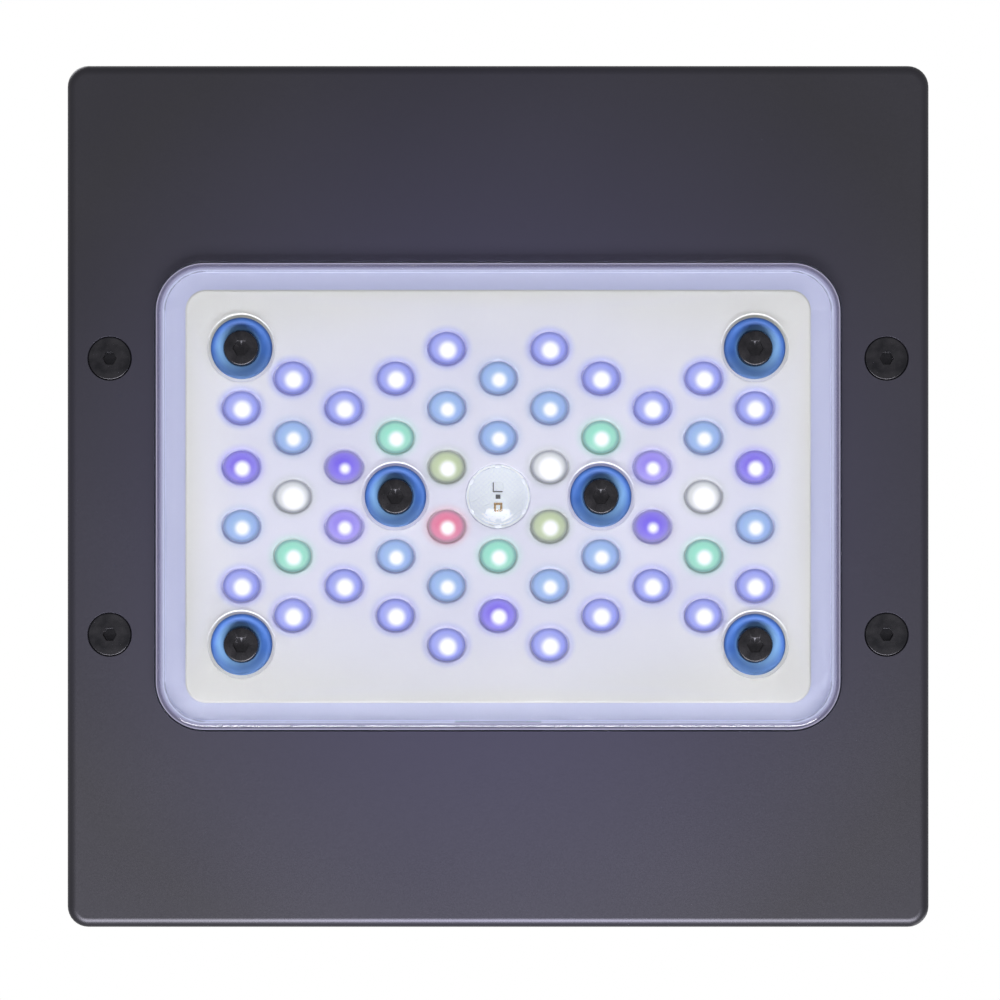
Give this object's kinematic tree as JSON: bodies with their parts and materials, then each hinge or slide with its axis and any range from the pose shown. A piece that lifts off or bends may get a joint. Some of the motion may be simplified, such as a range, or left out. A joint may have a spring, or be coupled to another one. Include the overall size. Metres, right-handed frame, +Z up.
{
  "type": "aquarium light",
  "caption": "Square hanging LED reef light with a clear lens over a lattice of light chips, fan-cooled heat sink, buttons, power inlet and bracket strips.",
  "frame": {"origin": "under the middle of the light, on the plane of the lens's outer face, on which it rests", "axes": "+Z up, away from the water; light shines along -Z; +Y to the rear, where the power inlet is; +X to the right seen from the front"},
  "size_m": [0.178, 0.178, 0.038],
  "materials": {
    "dark_aluminium": "satin dark gunmetal powder coat with fine grain",
    "cover_plastic": "black moulded plastic with fine spark texture",
    "clear_acrylic": "clear moulded acrylic, polished",
    "silicone": "grey silicone",
    "white_panel": "white moulded reflector, semi-matte",
    "led_board": "white solder mask with light chips",
    "bare_aluminium": "extruded, unpainted",
    "black_plastic": "black glass-filled plastic",
    "brass": "turned",
    "copper_wire": "enamelled copper winding",
    "bright_steel": "polished",
    "lead_sleeve": "soft lead sleeve",
    "circuit_board": "green solder mask",
    "status_light": "frosted light pipe",
    "button_rubber": "soft-touch dark grey",
    "black_steel": "black oxide",
    "blue_aluminium": "blue anodised, turned"
  },
  "bodies": {
    "root": {"bezel_housing": "dark_aluminium", "top_cover": "cover_plastic", "lens_cover": "clear_acrylic", "lens_gasket": "silicone", "lens_seal": "button_rubber", "reflector_panel": "white_panel", "led_board": "led_board", "sensor_window": "clear_acrylic", "thermal_pad": "silicone", "heat_sink": "bare_aluminium", "fan_frame": "black_plastic", "fan_bearing": "brass", "fan_coil": "copper_wire", "fan_lead": "lead_sleeve", "control_board": "circuit_board", "ribbon_lead": "lead_sleeve", "dc_inlet": "black_plastic", "usb_socket": "bright_steel", "status_light_pipe": "status_light", "key_switch_1": "black_plastic", "key_switch_2": "black_plastic", "key_switch_3": "black_plastic", "panel_screw_1": "black_steel", "panel_screw_2": "black_steel", "panel_screw_3": "black_steel", "panel_screw_4": "black_steel", "panel_screw_5": "black_steel", "panel_screw_6": "black_steel", "plate_screw_1": "black_steel", "plate_screw_2": "black_steel", "plate_screw_3": "black_steel", "plate_screw_4": "black_steel", "fan_screw_1": "black_steel", "fan_screw_2": "black_steel", "fan_screw_3": "black_steel", "fan_screw_4": "black_steel", "sink_screw_1": "black_steel", "sink_screw_2": "black_steel", "sink_screw_3": "black_steel", "sink_screw_4": "black_steel", "board_screw_1": "black_steel", "board_screw_2": "black_steel", "board_screw_3": "black_steel", "board_screw_4": "black_steel", "cup_washer_1": "blue_aluminium", "cup_washer_2": "blue_aluminium", "cup_washer_3": "blue_aluminium", "cup_washer_4": "blue_aluminium", "cup_washer_5": "blue_aluminium", "cup_washer_6": "blue_aluminium", "mount_insert_1": "brass", "mount_insert_2": "brass", "mount_insert_3": "brass", "mount_insert_4": "brass"},
    "fan_rotor": {"fan_rotor": "black_plastic", "fan_shaft": "bright_steel"},
    "button_1": {"button_1": "button_rubber"},
    "button_2": {"button_2": "button_rubber"},
    "button_3": {"button_3": "button_rubber"}
  },
  "joints": [
    {"name": "fan_spin", "type": "hinge", "parent": "root", "child": "fan_rotor", "pos_m": [0, 0, 0.03], "axis": [0, 0, 1], "continuous": true},
    {"name": "button_1_press", "type": "slide", "parent": "root", "child": "button_1", "axis": [0, 0, -1], "range_m": [0, 0.001], "stiffness_N_per_m": 1500, "springref_m": -0.0002},
    {"name": "button_2_press", "type": "slide", "parent": "root", "child": "button_2", "axis": [0, 0, -1], "range_m": [0, 0.001], "stiffness_N_per_m": 1500, "springref_m": -0.0002},
    {"name": "button_3_press", "type": "slide", "parent": "root", "child": "button_3", "axis": [0, 0, -1], "range_m": [0, 0.001], "stiffness_N_per_m": 1500, "springref_m": -0.0002}
  ]
}
